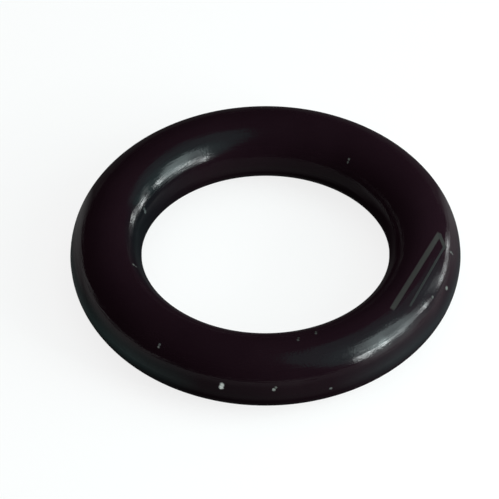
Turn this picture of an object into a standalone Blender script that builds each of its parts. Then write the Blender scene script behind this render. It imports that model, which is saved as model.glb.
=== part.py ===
"""O-ring: a moulded rubber sealing ring of round section, one solid.

The ring lies flat about the Z axis. The origin is its centre, in the middle plane where
the two halves of its mould met. Lengths are in metres and angles in radians.
"""

import math

import bmesh
import bpy
from mathutils import Vector

# Sizes that define the ring.
BORE_DIAMETER = 0.01229  # across the hole
SECTION_DIAMETER = 0.00353  # through the round section

# The parting line: a little rubber squeezes out where the mould halves meet, in the bore
# and round the outside, and trimming leaves a fine ridge there.
PARTING_RIDGE_HEIGHT = 0.00003
PARTING_RIDGE_WIDTH = 0.0001

# Facets. An odd number of steps over each half of the section leaves one level facet at
# the crown and one at the foot, the narrow band that the soft ring stands on.
RING_STEPS = 120
HALF_SECTION_STEPS = 19

# Black nitrile rubber, half glossy from a polished mould.
RUBBER_COLOUR = (0.0060, 0.0056, 0.0062, 1.0)
RUBBER_ROUGHNESS = 0.3


def clear_scene():
    """Removes whatever objects the file already holds."""
    for obj in list(bpy.data.objects):
        bpy.data.objects.remove(obj, do_unlink=True)


def section_outline():
    """The section as (distance from its centre towards the outside, height) points.

    It runs anticlockwise with the outside of the ring to the right: the outer ridge, the
    upper half, the ridge in the bore, then the lower half.
    """
    radius = SECTION_DIAMETER / 2
    ridge_half_angle = math.asin(PARTING_RIDGE_WIDTH / 2 / radius)
    ridge_tip = radius + PARTING_RIDGE_HEIGHT
    half_sweep = math.pi - 2 * ridge_half_angle

    outline = []
    for side_angle in (0.0, math.pi):
        outline.append((ridge_tip * math.cos(side_angle), 0.0))
        for step in range(HALF_SECTION_STEPS + 1):
            angle = side_angle + ridge_half_angle + half_sweep * step / HALF_SECTION_STEPS
            outline.append((radius * math.cos(angle), radius * math.sin(angle)))
    return outline


def ring_mesh(name):
    """The section spun once round the Z axis and closed on itself."""
    centreline_radius = (BORE_DIAMETER + SECTION_DIAMETER) / 2
    form = bmesh.new()
    corners = [form.verts.new((centreline_radius + out, 0.0, up)) for out, up in section_outline()]
    edges = [form.edges.new((a, b)) for a, b in zip(corners, corners[1:] + corners[:1])]
    bmesh.ops.spin(
        form,
        geom=corners + edges,
        cent=Vector((0.0, 0.0, 0.0)),
        axis=Vector((0.0, 0.0, 1.0)),
        angle=2 * math.pi,
        steps=RING_STEPS,
        use_merge=True,
        use_duplicate=False,
    )
    bmesh.ops.recalc_face_normals(form, faces=form.faces)
    mesh = bpy.data.meshes.new(name)
    form.to_mesh(mesh)
    form.free()
    return mesh


def rubber():
    """The ring's one material."""
    material = bpy.data.materials.new("nitrile_rubber")
    material.use_nodes = True
    shader = material.node_tree.nodes["Principled BSDF"]
    shader.inputs["Base Color"].default_value = RUBBER_COLOUR
    shader.inputs["Roughness"].default_value = RUBBER_ROUGHNESS
    shader.inputs["Metallic"].default_value = 0.0
    return material


def main():
    clear_scene()
    mesh = ring_mesh("o_ring")
    mesh.shade_smooth()
    mesh.materials.append(rubber())
    ring = bpy.data.objects.new("o_ring", mesh)
    bpy.context.scene.collection.objects.link(ring)


main()
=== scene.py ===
# %% [markdown]
# An o-ring is a loop of rubber with a round section. It lies in a groove and is squeezed there,
# and the squeeze is what seals. This one is black nitrile rubber, pressed in a polished steel
# mould, so it has a half gloss, a fine skin and hardly any colour. Nearly all that the eye gets
# from it is reflection, so the ring needs a clean round form, a true rubber skin and lamps with
# shapes of their own.
#
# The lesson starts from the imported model, which gives the ring's place and size. That solid ring
# stays where it is, hidden, and a finer one of the same size is shown in its place.

import math

import bpy
from mathutils import Matrix, Vector


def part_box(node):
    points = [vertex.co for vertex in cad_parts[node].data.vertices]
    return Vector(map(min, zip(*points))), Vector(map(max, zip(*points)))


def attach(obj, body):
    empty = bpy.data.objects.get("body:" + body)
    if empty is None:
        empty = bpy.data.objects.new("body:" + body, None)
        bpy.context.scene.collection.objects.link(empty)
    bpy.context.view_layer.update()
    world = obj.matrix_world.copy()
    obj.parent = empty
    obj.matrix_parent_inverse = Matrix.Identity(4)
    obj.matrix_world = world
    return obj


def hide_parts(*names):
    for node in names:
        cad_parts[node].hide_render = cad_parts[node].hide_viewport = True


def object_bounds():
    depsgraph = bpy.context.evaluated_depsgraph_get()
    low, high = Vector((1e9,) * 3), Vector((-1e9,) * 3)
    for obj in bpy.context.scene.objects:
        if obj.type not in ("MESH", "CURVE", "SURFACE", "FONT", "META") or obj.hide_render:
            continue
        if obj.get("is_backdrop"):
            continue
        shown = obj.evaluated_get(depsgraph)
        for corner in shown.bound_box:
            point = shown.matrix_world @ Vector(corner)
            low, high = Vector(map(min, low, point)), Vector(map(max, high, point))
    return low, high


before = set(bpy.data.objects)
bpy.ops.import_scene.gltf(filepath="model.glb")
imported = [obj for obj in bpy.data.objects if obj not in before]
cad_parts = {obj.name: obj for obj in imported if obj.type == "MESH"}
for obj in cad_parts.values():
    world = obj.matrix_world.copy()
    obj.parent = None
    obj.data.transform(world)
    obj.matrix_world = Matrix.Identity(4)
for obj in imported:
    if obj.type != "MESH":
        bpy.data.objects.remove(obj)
cad_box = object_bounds()
low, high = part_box("o_ring")
print("the solid ring spans", [round(side * 1000, 3) for side in high - low], "mm")

# %% [markdown]
# Four values make the ring: the bore, the section, and the height and half width of the ridge
# at the parting line, where the two halves of the mould met. All others follow from them. The
# printed line sets the outside diameter against the frame's box. The box is 0.06 mm wider,
# because the solid ring has a higher ridge, one that can be made and measured.

# %% Sizes
MM = 0.001
BORE_DIAMETER = 12.29 * MM
SECTION_DIAMETER = 3.53 * MM
RIDGE_HEIGHT = 0.006 * MM
RIDGE_HALF_ANGLE = math.radians(2.0)

SECTION_RADIUS = SECTION_DIAMETER / 2
RING_RADIUS = (BORE_DIAMETER + SECTION_DIAMETER) / 2
outside = 2 * (RING_RADIUS + SECTION_RADIUS)
print("outside diameter", round(outside / MM, 3), "mm, in the frame", round((high.x - low.x) / MM, 3))

# %% [markdown]
# A ring could start from the torus primitive, but the parting line belongs in its section, so
# the section is drawn first, as the mould maker draws it: a circle standing on the ring's
# radius, with its two points at mid height pulled out into a ridge. One spin round the axis
# then makes the whole ring, as a lathe turns the two halves of the mould.

# %% Draw the section
SECTION_POINTS = 120


def deselect_all():
    """Empties the selection, so that the next operator acts on the new piece alone."""
    for obj in bpy.context.selected_objects:
        obj.select_set(False)


deselect_all()
bpy.ops.mesh.primitive_circle_add(
    vertices=SECTION_POINTS,
    radius=SECTION_RADIUS,
    fill_type="NOTHING",
    location=(RING_RADIUS, 0.0, 0.0),
    rotation=(math.radians(90.0), 0.0, 0.0),
)
ring = bpy.context.object
ring.name = "rubber_ring"
bpy.ops.object.transform_apply(location=True, rotation=True, scale=True)
print("the section has", len(ring.data.vertices), "points")

# %% [markdown]
# Each ridge is one point of the section, pulled out by its height. The points beside it come in
# close first, so that the ridge stays as narrow as a trimmed one. On a well kept mould it is so
# low that it only shows as a faint line where the light rakes along it.

# %% Pull out the ridges
STEP_ANGLE = 2 * math.pi / SECTION_POINTS
CLOSE_ENOUGH = STEP_ANGLE / 10

for vertex in ring.data.vertices:
    across = vertex.co.x - RING_RADIUS
    angle = math.atan2(vertex.co.z, abs(across))
    side = math.copysign(1.0, across)
    if abs(angle) < CLOSE_ENOUGH:
        vertex.co.x = RING_RADIUS + side * (SECTION_RADIUS + RIDGE_HEIGHT)
    elif abs(angle) < STEP_ANGLE + CLOSE_ENOUGH:
        beside = math.copysign(RIDGE_HALF_ANGLE, angle)
        vertex.co.x = RING_RADIUS + side * SECTION_RADIUS * math.cos(beside)
        vertex.co.z = SECTION_RADIUS * math.sin(beside)
widest = max(vertex.co.x for vertex in ring.data.vertices)
print("the ridge reaches", round(widest / MM, 3), "mm from the axis")

# %% [markdown]
# The spin. A full turn ends where it began, so its last row of points lies on its first, and
# merging the two closes the ring. Spin can leave a surface inside out, so the normals are turned
# outwards after that. With 480 steps the outline stays round in a close view, and the ring is
# still light.

# %% Spin the ring
RING_STEPS = 480
MERGE_WITHIN = 0.001 * MM

bpy.ops.object.mode_set(mode="EDIT")
bpy.ops.mesh.select_all(action="SELECT")
bpy.ops.mesh.spin(
    steps=RING_STEPS,
    dupli=False,
    angle=2 * math.pi,
    use_auto_merge=True,
    center=(0.0, 0.0, 0.0),
    axis=(0.0, 0.0, 1.0),
)
bpy.ops.mesh.select_all(action="SELECT")
bpy.ops.mesh.remove_doubles(threshold=MERGE_WITHIN)
bpy.ops.mesh.normals_make_consistent(inside=False)
bpy.ops.object.mode_set(mode="OBJECT")
bpy.ops.object.shade_smooth()
print("the ring has", len(ring.data.polygons), "faces")

# %% [markdown]
# The rubber. Nitrile is filled with carbon black, which leaves it very dark and almost neutral,
# with a trace of purple. Its gloss comes from the skin that the polished mould pressed on it.
#
# A Principled shader has two layers that shine, its base and its clear coat. The base would turn
# into a mirror wherever the eye glances along it, which a grainy, dusty rubber doesn't do. So the
# base gives only the colour, with its specular level at 0, and the coat gives all the gloss,
# because the coat's weight can be painted: strong where the skin is polished, weak where it is
# worn. The next steps work out that weight.
#
# Every pattern's scale is a real size in millimetres, turned over, because a noise of scale 1
# repeats about once in a metre.

# %% Colour and node helpers
def linear(hex_colour):
    """The linear colour of an sRGB hex value."""
    channels = [int(hex_colour[start:start + 2], 16) / 255 for start in (1, 3, 5)]
    return (*(c / 12.92 if c <= 0.04045 else ((c + 0.055) / 1.055) ** 2.4 for c in channels), 1.0)


def add(tree, kind, settings=None, **links):
    """Adds a node. Settings name its properties, links its inputs: a socket or a value.

    An input is given by its name, with _ for a space, or by _ and its number. A Mix node has its
    inputs for every kind of value side by side: 0 is the factor, 2 and 3 are plain numbers, and
    6 and 7 are colours.
    """
    node = tree.nodes.new("ShaderNode" + kind)
    for name, value in (settings or {}).items():
        setattr(node, name, value)
    for name, value in links.items():
        key = int(name[1:]) if name[1:].isdigit() else name.replace("_", " ")
        socket = node.inputs[key]
        if isinstance(value, bpy.types.NodeSocket):
            tree.links.new(value, socket)
        else:
            socket.default_value = value
    return node


print("a middle grey, #808080, is", round(linear("#808080")[0], 3), "in linear light")

# %% [markdown]
# The colour. Carbon black is never mixed in quite evenly, so the black has soft patches a few
# millimetres wide, some a trace lighter and redder than the rest. The same patches make the
# rubber rougher in one place and smoother in another.

# %% The rubber's base
PATCH_SIZE = 2.5 * MM
DARK_RUBBER = "#160A10"
LIGHT_RUBBER = "#1C0F15"
SMOOTHEST = 0.42
ROUGHEST = 0.54

rubber = bpy.data.materials.new("moulded_nitrile_rubber")
rubber.use_nodes = True
tree = rubber.node_tree
shader = tree.nodes["Principled BSDF"]
shader.inputs["Metallic"].default_value = 0.0
shader.inputs["IOR"].default_value = 1.52
shader.inputs["Specular IOR Level"].default_value = 0.0
shader.inputs["Coat Roughness"].default_value = 0.13
shader.inputs["Coat IOR"].default_value = 1.5
place = add(tree, "TexCoord").outputs["Object"]

patches = add(
    tree, "TexNoise", Vector=place, Scale=1 / PATCH_SIZE, Detail=3.0, Roughness=0.5
).outputs["Fac"]
black = add(
    tree,
    "Mix",
    {"data_type": "RGBA"},
    _0=patches,
    _6=linear(DARK_RUBBER),
    _7=linear(LIGHT_RUBBER),
).outputs[2]
rough = add(tree, "MapRange", Value=patches, To_Min=SMOOTHEST, To_Max=ROUGHEST).outputs["Result"]
print("the rubber's base has", len(tree.nodes), "nodes")

# %% [markdown]
# The mould was turned on a lathe and polished by hand, and both leave fine marks that run round
# the ring. They break a lamp's reflection into short streaks. A noise for them has to be
# stretched along the ring, and so it reads places of its own: how far out and how high a point
# lies, and its direction from the axis. Four numbers say that without a seam anywhere, so that
# noise has four dimensions.

# %% Places along the ring
MARK_WIDTH = 0.14 * MM
MARK_LENGTH = 2.6 * MM

split = add(tree, "SeparateXYZ", Vector=place)
sideways = split.outputs["X"]
height = split.outputs["Z"]
flat = add(tree, "VectorMath", {"operation": "MULTIPLY"}, _0=place, _1=(1.0, 1.0, 0.0)).outputs["Vector"]
reach = add(tree, "VectorMath", {"operation": "LENGTH"}, _0=flat).outputs["Value"]
outward = add(tree, "VectorMath", {"operation": "NORMALIZE"}, _0=flat).outputs["Vector"]
shortened = RING_RADIUS * MARK_WIDTH / MARK_LENGTH
turned = add(tree, "VectorMath", {"operation": "SCALE"}, _0=outward, Scale=shortened).outputs["Vector"]
turned_parts = add(tree, "SeparateXYZ", Vector=turned)
along_ring = add(tree, "CombineXYZ", X=reach, Y=height, Z=turned_parts.outputs["X"]).outputs["Vector"]
print("a mark is", round(MARK_LENGTH / MARK_WIDTH, 1), "times as long as it is wide")

# %% [markdown]
# Three reliefs lie on each other: slow waves from the way that the rubber shrank as it cooled,
# the turning marks, and a grain as fine as the render can show, left by the mould's sanded steel.
# Each is hundredths of a millimetre deep or less, so it is bump and not mesh.

# %% Marks, waves and grain
WAVE_LENGTH = 1.8 * MM
WAVE_DEPTH = 0.03 * MM
MARK_DEPTH = 0.012 * MM
GRAIN_SIZE = 0.1 * MM
GRAIN_DEPTH = 0.006 * MM

waves = add(
    tree, "TexNoise", Vector=place, Scale=1 / WAVE_LENGTH, Detail=1.0, Roughness=0.4
).outputs["Fac"]
marks = add(
    tree,
    "TexNoise",
    {"noise_dimensions": "4D"},
    Vector=along_ring,
    W=turned_parts.outputs["Y"],
    Scale=1 / MARK_WIDTH,
    Detail=2.0,
    Roughness=0.6,
).outputs["Fac"]
grain = add(
    tree, "TexNoise", Vector=place, Scale=1 / GRAIN_SIZE, Detail=2.0, Roughness=0.5
).outputs["Fac"]

skin = add(tree, "Bump", Height=waves, Distance=WAVE_DEPTH).outputs["Normal"]
skin = add(tree, "Bump", Height=marks, Distance=MARK_DEPTH, Normal=skin).outputs["Normal"]
skin = add(tree, "Bump", Height=grain, Distance=GRAIN_DEPTH, Normal=skin).outputs["Normal"]
tree.links.new(skin, shader.inputs["Normal"])
tree.links.new(skin, shader.inputs["Coat Normal"])
print("with its marks it has", len(tree.nodes), "nodes")

# %% [markdown]
# The ring comes out of its mould with a thin flash along the parting line. Tumbling wears the
# flash off and dulls the skin beside it, in the bore and round the outside. So the coat is weak
# near mid height and grows towards the crown and the foot. The patches shift the band's edge up
# and down a little, which keeps it from looking painted.

# %% The dull band
DULL_UP_TO = SECTION_RADIUS * math.sin(math.radians(14.0))
GLOSSY_FROM = SECTION_RADIUS * math.sin(math.radians(48.0))
UNEVEN_BY = 0.12 * MM
DULL_COAT = 0.07
GLOSSY_COAT = 0.5

above_or_below = add(tree, "Math", {"operation": "ABSOLUTE"}, _0=height).outputs["Value"]
uneven = add(tree, "MapRange", Value=patches, To_Min=-UNEVEN_BY, To_Max=UNEVEN_BY).outputs["Result"]
from_parting = add(tree, "Math", {"operation": "ADD"}, _0=above_or_below, _1=uneven).outputs["Value"]
gloss = add(
    tree,
    "MapRange",
    {"interpolation_type": "SMOOTHSTEP"},
    Value=from_parting,
    From_Min=DULL_UP_TO,
    From_Max=GLOSSY_FROM,
    To_Min=DULL_COAT,
    To_Max=GLOSSY_COAT,
).outputs["Result"]
print("dull up to", round(DULL_UP_TO / MM, 2), "mm, glossy from", round(GLOSSY_FROM / MM, 2), "mm")

# %% [markdown]
# A clean polished skin mirrors most where the eye glances along it. One with grain and a film of
# dust loses its mirror there instead. Layer Weight says how far a spot faces away, and the coat
# fades with it. Rubbed smooth, the skin at the far left and right keeps about half of its mirror
# even at a glance. Fingers and dust reach the side towards the bore less, so its coat is a fifth
# stronger.

# %% Dust at a glance
FADES_FROM = 0.35
FADED_AT = 0.58
FADED_MIRROR = 0.07
RUBBED_FROM = 1.07 * RING_RADIUS
RUBBED_FULLY = 1.16 * RING_RADIUS
RUBBED_MIRROR = 0.55
SHINIEST_AT = RING_RADIUS - 0.5 * SECTION_RADIUS
BORE_GAIN = 1.2


def times(first, second):
    """The product of two values."""
    return add(tree, "Math", {"operation": "MULTIPLY"}, _0=first, _1=second).outputs["Value"]


def larger(first, second):
    """The larger of two values. Of two masks, it is 1 wherever one of them is."""
    return add(tree, "Math", {"operation": "MAXIMUM"}, _0=first, _1=second).outputs["Value"]


facing_away = add(tree, "LayerWeight", Blend=0.5).outputs["Facing"]
dusty = add(
    tree,
    "MapRange",
    {"interpolation_type": "SMOOTHSTEP"},
    Value=facing_away,
    From_Min=FADES_FROM,
    From_Max=FADED_AT,
    To_Min=1.0,
    To_Max=FADED_MIRROR,
).outputs["Result"]
far_aside = add(tree, "Math", {"operation": "ABSOLUTE"}, _0=sideways).outputs["Value"]
rubbed = add(
    tree, "MapRange", Value=far_aside, From_Min=RUBBED_FROM, From_Max=RUBBED_FULLY, To_Max=RUBBED_MIRROR
).outputs["Result"]
shinier = add(
    tree,
    "MapRange",
    Value=reach,
    From_Min=RING_RADIUS,
    From_Max=SHINIEST_AT,
    To_Min=1.0,
    To_Max=BORE_GAIN,
).outputs["Result"]
gloss = times(times(gloss, shinier), larger(dusty, rubbed))
print("the sheen at the sides starts", round((outside / 2 - RUBBED_FROM) / MM, 2), "mm from the outline")

# %% [markdown]
# Painted sheen. At a glance along the outer flank the rubber shows a haze of reflection. Here it
# is painted into the colour, a little greyer and bluer than the rubber. It lies in the dull band
# of the outer flank, full at the left, weaker on the right and none at the front and the back.
# In the bore a faint painted glow remains on the left, which takes the warmth out of the black and
# no more. Masks of how high, how far out and how far aside a spot lies make it.

# %% Painted sheen on the flanks
# A grey-green for the painted sheen, and a darker one for the painted glow in the bore.
PAINTED_SHEEN_COLOUR = "#384444"
PAINTED_GLOW_COLOUR = "#0E1214"
SHEEN_FULL_UP_TO = SECTION_RADIUS * math.sin(math.radians(4.0))
SHEEN_ENDS_AT = SECTION_RADIUS * math.sin(math.radians(30.0))
SHEEN_FULL_FROM = RING_RADIUS + 0.7 * SECTION_RADIUS
GLOW_FULL_FROM = RING_RADIUS - 0.85 * SECTION_RADIUS
GLOW_STARTS_AT = RING_RADIUS - 0.5 * SECTION_RADIUS
ASIDE_FROM = 0.4 * RING_RADIUS
ASIDE_FULLY_LEFT = 0.85 * RING_RADIUS
ASIDE_FULLY_RIGHT = 0.8 * RING_RADIUS
SHEEN_AT_RIGHT = 0.24


def ramp(value, nothing_at, full_at):
    """A value turned into a mask that rises from 0 to 1 between two distances."""
    return add(tree, "MapRange", Value=value, From_Min=nothing_at, From_Max=full_at).outputs["Result"]


def cover(colour, shade, mask):
    """The colour, with a shade laid over it where the mask is 1."""
    return add(tree, "Mix", {"data_type": "RGBA"}, _0=mask, _6=colour, _7=linear(shade)).outputs[2]


at_left = ramp(sideways, -ASIDE_FROM, -ASIDE_FULLY_LEFT)
at_right = times(ramp(sideways, ASIDE_FROM, ASIDE_FULLY_RIGHT), SHEEN_AT_RIGHT)
low_down = ramp(from_parting, SHEEN_ENDS_AT, SHEEN_FULL_UP_TO)
on_outer_flank = ramp(reach, RING_RADIUS, SHEEN_FULL_FROM)
# The painted sheen on the outer flank, and on the next line the painted glow in the bore on the left.
painted_sheen = times(times(low_down, larger(at_left, at_right)), on_outer_flank)
painted_glow = times(at_left, ramp(reach, GLOW_STARTS_AT, GLOW_FULL_FROM))
colour = cover(cover(black, PAINTED_SHEEN_COLOUR, painted_sheen), PAINTED_GLOW_COLOUR, painted_glow)
print("the bloom reaches", round(SHEEN_ENDS_AT / MM, 2), "mm from the parting line")

# %% [markdown]
# Dust. Rubber is sticky and charged, so it holds specks of it. The larger ones are placed one by
# one, each by its two angles, its width in millimetres and its colour, and a long one is two
# that touch. A noise bends their outlines, because no speck is round.

# %% Places on the rubber
def on_ring(ring_angle, section_angle):
    """A point on the rubber, from two angles in degrees.

    The ring angle goes round the axis from +X towards +Y. The section angle goes round the
    section, from 0 at the outside over 90 at the crown to 180 in the bore.
    """
    around = math.radians(ring_angle)
    over = math.radians(section_angle)
    out = RING_RADIUS + SECTION_RADIUS * math.cos(over)
    return Vector((out * math.cos(around), out * math.sin(around), SECTION_RADIUS * math.sin(over)))


print("the crown at the right is at", [round(side / MM, 2) for side in on_ring(0.0, 90.0)], "mm")

# %% Dust specks
BEND_SIZE = 0.16 * MM
BEND_BY = 0.12 * MM
SPECK_ENDS_AT = 1.3
SPECK_FULL_WITHIN = 0.6
SPECKS = (
    # The first two, nearly white, are a speck of dust with a painted glint on it, lighter than the dust
    # itself.
    (256.8, 10.8, 0.23, "#F0F0EC"),
    (257.0, 15.8, 0.21, "#D8D8D4"),
    (272.1, 13.0, 0.16, "#8A8A86"),
    (272.7, 16.8, 0.13, "#62625E"),
    (235.3, 44.0, 0.13, "#6A6A68"),
    (235.3, 48.5, 0.12, "#585858"),
    (51.2, 132.0, 0.13, "#50504E"),
    (51.0, 137.0, 0.12, "#464644"),
    (198.0, 127.5, 0.13, "#50504E"),
    (198.8, 131.5, 0.12, "#464644"),
    (281.4, 94.5, 0.13, "#3E3E3C"),
    (281.8, 99.0, 0.11, "#343432"),
    (288.6, 102.0, 0.12, "#424240"),
    (289.0, 106.0, 0.11, "#3A3A38"),
    (288.8, -1.5, 0.16, "#6A6A68"),
    (160.4, 152.5, 0.19, "#4A4C4C"),
    (159.9, 148.5, 0.16, "#3C3E3E"),
    (339.7, 27.8, 0.19, "#62625F"),
    (332.5, 43.0, 0.15, "#565654"),
    (352.8, 42.0, 0.13, "#565654"),
    (352.6, 38.0, 0.12, "#4A4A48"),
)

bend = add(tree, "TexNoise", Vector=place, Scale=1 / BEND_SIZE, Detail=2.0).outputs["Color"]
middle_grey = (0.5, 0.5, 0.5)
centred = add(tree, "VectorMath", {"operation": "SUBTRACT"}, _0=bend, _1=middle_grey).outputs["Vector"]
shift = add(tree, "VectorMath", {"operation": "SCALE"}, _0=centred, Scale=BEND_BY).outputs["Vector"]
ragged = add(tree, "VectorMath", {"operation": "ADD"}, _0=place, _1=shift).outputs["Vector"]


def round_spot(ring_angle, section_angle, width_mm, ends_at, full_within):
    """A mask for a ragged spot. The last two say where it ends and is full, in half widths."""
    middle = on_ring(ring_angle, section_angle)
    away = add(tree, "VectorMath", {"operation": "DISTANCE"}, _0=ragged, _1=middle).outputs["Value"]
    half = width_mm / 2 * MM
    return ramp(away, ends_at * half, full_within * half)


dirt = 0.0
for ring_angle, section_angle, width_mm, shade in SPECKS:
    speck = round_spot(ring_angle, section_angle, width_mm, SPECK_ENDS_AT, SPECK_FULL_WITHIN)
    colour = cover(colour, shade, speck)
    dirt = larger(dirt, speck)
print("placed", len(SPECKS), "specks")

# %% [markdown]
# Polish. Both highlights are brighter in some stretches than one lamp would make them, and
# dimmer in others. Nothing in the photograph says why. Here it is taken for uneven polish,
# duller where fingers held the ring and brighter where it was rubbed. Polish shows only where
# a lamp is mirrored, so these places are listed along the two highlights, each by its
# two angles, its width in millimetres and how many times the gloss it has.

# %% Uneven polish
POLISH_ENDS_AT = 1.4
POLISH_FULL_WITHIN = 0.2
POLISH = (
    (302.0, 50.0, 1.2, 0.8),
    (305.0, 38.5, 1.1, 1.4),
    (308.3, 40.0, 0.6, 1.65),
    (313.5, 42.0, 1.1, 0.8),
    (323.5, 45.0, 1.8, 0.58),
    (328.2, 45.0, 0.4, 1.6),
    (331.3, 44.0, 0.6, 0.65),
    (340.2, 46.0, 0.4, 1.5),
    (342.6, 46.0, 0.4, 0.6),
    (345.6, 47.5, 0.4, 1.2),
    (354.0, 50.5, 0.6, 1.3),
    (118.2, 146.0, 0.4, 1.3),
    (121.6, 143.5, 0.9, 0.52),
    (132.5, 142.5, 0.6, 1.2),
    (144.3, 141.0, 0.4, 1.7),
    (153.6, 137.0, 0.3, 0.6),
    (159.3, 139.0, 0.8, 1.7),
    (171.0, 137.0, 0.6, 1.5),
    (176.0, 136.5, 0.9, 3.0),
)

for ring_angle, section_angle, width_mm, gain in POLISH:
    spot = round_spot(ring_angle, section_angle, width_mm, POLISH_ENDS_AT, POLISH_FULL_WITHIN)
    gloss = times(gloss, add(tree, "Mix", _0=spot, _2=1.0, _3=gain).outputs[0])
print("the polish differs in", len(POLISH), "places")

# %% [markdown]
# Scuffs. Something straight was pressed on the right side of the ring and left a broad stripe
# and a thin one, with a short one that joins them. Each is the strip of skin that lies close to
# a plane through its two ends, so it is straight when it is seen from the side that it was made
# from. That is taken to be the camera's side, because the stripes look straight from there.

# %% Scuffs
VIEW_ELEVATION = math.radians(45.7)
SCUFFED_FROM = Vector((0.0, -math.cos(VIEW_ELEVATION), math.sin(VIEW_ELEVATION)))
SCUFFED_ABOVE = 0.9 * MM
SCUFFED_FULLY_ABOVE = 1.0 * MM
SCUFF_ENDS_AT = 1.15
SCUFF_FULL_WITHIN = 0.8
SOFT_END = 0.05 * MM
SCUFFS = (
    ((317.9, 78.0), (358.0, 67.0), 0.25, "#32302F"),
    ((357.7, 67.5), (352.5, 54.0), 0.17, "#2E2D2C"),
    ((352.9, 56.8), (323.6, 62.0), 0.11, "#292929"),
)

upper_side = ramp(height, SCUFFED_ABOVE, SCUFFED_FULLY_ABOVE)
for start_angles, end_angles, width_mm, shade in SCUFFS:
    start = on_ring(*start_angles)
    run = on_ring(*end_angles) - start
    run -= SCUFFED_FROM * run.dot(SCUFFED_FROM)
    along = run.normalized()
    beside = along.cross(SCUFFED_FROM)
    offset = add(tree, "VectorMath", {"operation": "SUBTRACT"}, _0=place, _1=start).outputs["Vector"]
    aside = add(tree, "VectorMath", {"operation": "DOT_PRODUCT"}, _0=offset, _1=beside).outputs["Value"]
    ahead = add(tree, "VectorMath", {"operation": "DOT_PRODUCT"}, _0=offset, _1=along).outputs["Value"]
    aside = add(tree, "Math", {"operation": "ABSOLUTE"}, _0=aside).outputs["Value"]
    half = width_mm / 2 * MM
    scuff = times(upper_side, ramp(aside, SCUFF_ENDS_AT * half, SCUFF_FULL_WITHIN * half))
    scuff = times(scuff, ramp(ahead, -SOFT_END, SOFT_END))
    scuff = times(scuff, ramp(ahead, run.length + SOFT_END, run.length - SOFT_END))
    colour = cover(colour, shade, scuff)
    dirt = larger(dirt, scuff)
print("drew", len(SCUFFS), "scuffs")

# %% [markdown]
# Now the parts come together. Dust and scuffs are matt, so where one lies the coat goes and the
# roughness rises. Then the ring rides on the frame's one body and stands for the solid ring, which
# is hidden.

# %% Finish the rubber
DIRT_ROUGHNESS = 0.9

clean = add(tree, "Math", {"operation": "SUBTRACT"}, _0=1.0, _1=dirt).outputs["Value"]
matt = add(tree, "Mix", _0=dirt, _2=rough, _3=DIRT_ROUGHNESS).outputs[0]
tree.links.new(colour, shader.inputs["Base Color"])
tree.links.new(matt, shader.inputs["Roughness"])
tree.links.new(times(gloss, clean), shader.inputs["Coat Weight"])

ring.data.materials.append(rubber)
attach(ring, "root")
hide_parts("o_ring")
print("the finished rubber has", len(tree.nodes), "nodes")

# %% [markdown]
# The floor is a pale round sheet under the ring, swept up all round its rim in steps that grow
# steeper, so that a low camera sees no dark gap behind it. It could be a plane, but a plane ends
# in a hard line.

# %% The floor
FLOOR_RADIUS = 0.9
FLOOR_CORNERS = 96
SWEEP_HEIGHT = 0.08
SWEEP_STEPS = 6
SWEEP_FLARE = 1.02

deselect_all()
bpy.ops.mesh.primitive_circle_add(
    vertices=FLOOR_CORNERS, radius=FLOOR_RADIUS, fill_type="NGON", location=(0.0, 0.0, low.z)
)
floor = bpy.context.object
floor.name = "floor"
bpy.ops.object.transform_apply(location=True, rotation=True, scale=True)
bpy.ops.object.mode_set(mode="EDIT")
bpy.ops.mesh.select_all(action="SELECT")
bpy.ops.mesh.region_to_loop()
for step in range(SWEEP_STEPS):
    rise = SWEEP_HEIGHT * (2 * step + 1) / SWEEP_STEPS ** 2
    bpy.ops.mesh.extrude_region_move(TRANSFORM_OT_translate={"value": (0.0, 0.0, rise)})
    bpy.ops.transform.resize(value=(SWEEP_FLARE, SWEEP_FLARE, 1.0))
bpy.ops.object.mode_set(mode="OBJECT")
bpy.ops.object.shade_smooth()
print("the floor lies", round(low.z / MM, 2), "mm from the ring's middle plane")

# %% [markdown]
# The card. A photograph cut out on white has no shade in its background. The card comes close to
# that: most of its white is light of its own, which only the camera and reflections see, and the
# rest is grey paint, which the lamps light and on which the ring's faint shadow falls.

# %% The card
CARD_PAINT = "#747474"
OWN_LIGHT = 0.82

paper = bpy.data.materials.new("matt_white_card")
paper.use_nodes = True
card_tree = paper.node_tree
card = card_tree.nodes["Principled BSDF"]
card.inputs["Base Color"].default_value = linear(CARD_PAINT)
card.inputs["Roughness"].default_value = 0.9
card.inputs["Specular IOR Level"].default_value = 0.0
card.inputs["Emission Color"].default_value = (1.0, 1.0, 1.0, 1.0)
rays = add(card_tree, "LightPath")
seen = rays.outputs["Is Camera Ray"]
for ray in ("Is Glossy Ray", "Is Transmission Ray"):
    seen = add(
        card_tree, "Math", {"operation": "ADD", "use_clamp": True}, _0=seen, _1=rays.outputs[ray]
    ).outputs["Value"]
glow = add(card_tree, "Math", {"operation": "MULTIPLY"}, _0=seen, _1=OWN_LIGHT).outputs["Value"]
card_tree.links.new(glow, card.inputs["Emission Strength"])
floor.data.materials.append(paper)
floor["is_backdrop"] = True
print("the card's own light is", OWN_LIGHT, "of white")

# %% [markdown]
# The lamps. The ring mirrors a large softbox on the right, brightest along its lower edge, and a
# narrow strip beside it on a bright foot. The dark gap between the two splits each reflection in
# a long part and a short one.
#
# Each lamp shows twice, on the near side of the ring and in the bend beyond its bore. Lines of
# sight worked out from both reflections of a corner meet 5 to 10 cm from the ring, so the lamps
# stand close, and 85 mm suits both reflections. A lamp is placed by the direction in which the
# ring's centre sees it: azimuth 0 is straight behind the ring and 90 is to the right.

# %% A softbox
LAMP_DISTANCE = 85 * MM
LAMP_COLOUR = (0.95, 1.0, 1.0)


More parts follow.
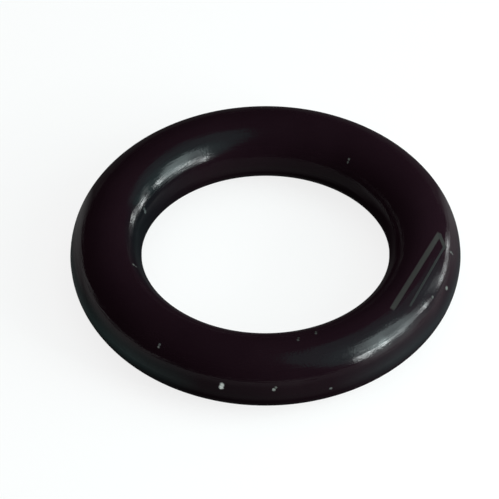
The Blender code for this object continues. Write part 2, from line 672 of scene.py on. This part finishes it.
def softbox(
    name,
    azimuth,
    elevation,
    wide,
    tall,
    radiance,
    colour=LAMP_COLOUR,
    shape="RECTANGLE",
    distance=LAMP_DISTANCE,
):
    """An area light that covers wide by tall degrees as seen from the ring's centre.

    Radiance is how bright its face looks. The camera doesn't see the lamp itself.
    """
    az = math.radians(azimuth)
    el = math.radians(elevation)
    towards = Vector((math.sin(az) * math.cos(el), math.cos(az) * math.cos(el), math.sin(el)))
    data = bpy.data.lights.new(name, "AREA")
    data.shape = shape
    data.size = 2 * distance * math.tan(math.radians(wide / 2))
    data.size_y = 2 * distance * math.tan(math.radians(tall / 2))
    data.energy = radiance * math.pi * data.size * data.size_y
    data.color = colour
    lamp = bpy.data.objects.new(name, data)
    lamp.location = towards * distance
    lamp.visible_camera = False
    lamp.rotation_euler = (-towards).to_track_quat("-Z", "Y").to_euler()
    bpy.context.scene.collection.objects.link(lamp)
    print(name, "is", round(data.size / MM), "by", round(data.size_y / MM), "mm")
    return lamp


# %% [markdown]
# One area light is equally bright all over, and the real softbox isn't, so it is built up from
# several: a round body, its lower half, a skirt below, and the lower edge in two halves, with a
# hot stretch and two bright ends.

# %% The main softbox
BODY_COLOUR = (0.84, 1.0, 1.0)

softbox("main_softbox", 107.8, 34.0, 35.0, 37.0, 3.3, BODY_COLOUR, "ELLIPSE")
softbox("main_softbox_lower_half", 108.5, 24.0, 40.0, 14.0, 2.6, BODY_COLOUR)
softbox("main_softbox_skirt", 111.0, 7.0, 40.0, 15.0, 2.1)
softbox("lower_edge_left_half", 98.0, 20.3, 21.0, 7.0, 4.8)
softbox("lower_edge_right_half", 119.0, 21.3, 21.0, 7.0, 13.0)
softbox("lower_edge_hot_stretch", 117.0, 21.3, 8.0, 5.0, 10.0)
softbox("lower_edge_left_end", 87.3, 19.0, 2.8, 9.0, 30.0)
softbox("lower_edge_right_end", 129.3, 18.5, 3.5, 12.0, 36.0)

# %% [markdown]
# The strip stands further round towards the back. Its foot is a low bar that is bright at both
# ends. The wall behind all of them is lit too. Two wide, faint lamps at the same distance stand
# for it, and lay a green haze round the reflections.

# %% The strip, its foot and the wall
WALL_COLOUR = (0.32, 1.0, 0.92)

softbox("side_strip", 71.0, 21.0, 4.5, 20.0, 2.8)
softbox("side_strip_foot", 61.9, 10.0, 19.0, 5.0, 7.4)
softbox("foot_near_end", 69.4, 11.6, 6.5, 6.0, 15.0)
softbox("foot_far_end", 53.8, 8.2, 5.0, 5.0, 12.5)
softbox("lit_wall", 102.0, 40.0, 80.0, 86.0, 0.3, WALL_COLOUR, "ELLIPSE")
softbox("lit_wall_middle", 106.0, 34.0, 66.0, 60.0, 0.16, WALL_COLOUR, "ELLIPSE")

# %% [markdown]
# An overhead fill and a plain grey world bring the light to a plain level, and the world reaches
# into the shaded side of the bore. Both are kept out of reflections, because the crown of the
# ring mirrors nothing but a dark room.

# %% The fill and the world
FILL_DISTANCE = 0.7
WHITE = (1.0, 1.0, 1.0)
WORLD_STRENGTH = 0.27

fill = softbox("overhead_fill", 0.0, 89.0, 60.0, 60.0, 0.8, WHITE, distance=FILL_DISTANCE)
fill.visible_glossy = False

world = bpy.data.worlds.new("grey_studio")
world.use_nodes = True
world.node_tree.nodes["Background"].inputs["Color"].default_value = (*WHITE, 1.0)
world.node_tree.nodes["Background"].inputs["Strength"].default_value = WORLD_STRENGTH
world.cycles_visibility.glossy = False
bpy.context.scene.world = world

# %% [markdown]
# The camera looks down at the ring through a long lens. Near and far side differ little in
# size, which puts it 36 ring radii away. Its place is worked out from where the ring's centre
# and radius lie in the photo's frame of 499 by 499 pixels.

# %% The camera
IMAGE_SIZE = 499
RING_RADIUS_PX = 159.43
RING_CENTRE_PX = (265.42, 253.04)
CAMERA_ROLL = math.radians(-0.31)
CAMERA_DISTANCE = 36.0 * RING_RADIUS

data = bpy.data.cameras.new("camera")
data.sensor_width = 36.0
data.lens = data.sensor_width * RING_RADIUS_PX * CAMERA_DISTANCE / RING_RADIUS / IMAGE_SIZE
data.clip_start = 0.01
camera = bpy.data.objects.new("camera", data)
back = Vector((0.0, -math.cos(VIEW_ELEVATION), math.sin(VIEW_ELEVATION)))
right = Vector((1.0, 0.0, 0.0))
up = back.cross(right)
pixel = RING_RADIUS / RING_RADIUS_PX
rightwards = (IMAGE_SIZE / 2 - RING_CENTRE_PX[0]) * pixel
upwards = (RING_CENTRE_PX[1] - IMAGE_SIZE / 2) * pixel
aim = right * rightwards + up * upwards
turn = back.to_track_quat("Z", "Y").to_matrix().to_4x4() @ Matrix.Rotation(CAMERA_ROLL, 4, "Z")
camera.matrix_world = Matrix.Translation(aim + back * CAMERA_DISTANCE) @ turn
bpy.context.scene.collection.objects.link(camera)
bpy.context.scene.camera = camera
print("lens", round(data.lens, 1), "mm, camera", round(CAMERA_DISTANCE / MM), "mm away")

# %% [markdown]
# Last, the plain view transform shows a colour as it is written.

# %% Finish
bpy.context.scene.view_settings.view_transform = "Standard"
sizes = {
    "cad": [list(corner) for corner in cad_box],
    "visual": [list(corner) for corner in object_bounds()],
}
for name, corners in sizes.items():
    print(name, "box from", [round(side / MM, 3) for side in corners[0]], "mm")
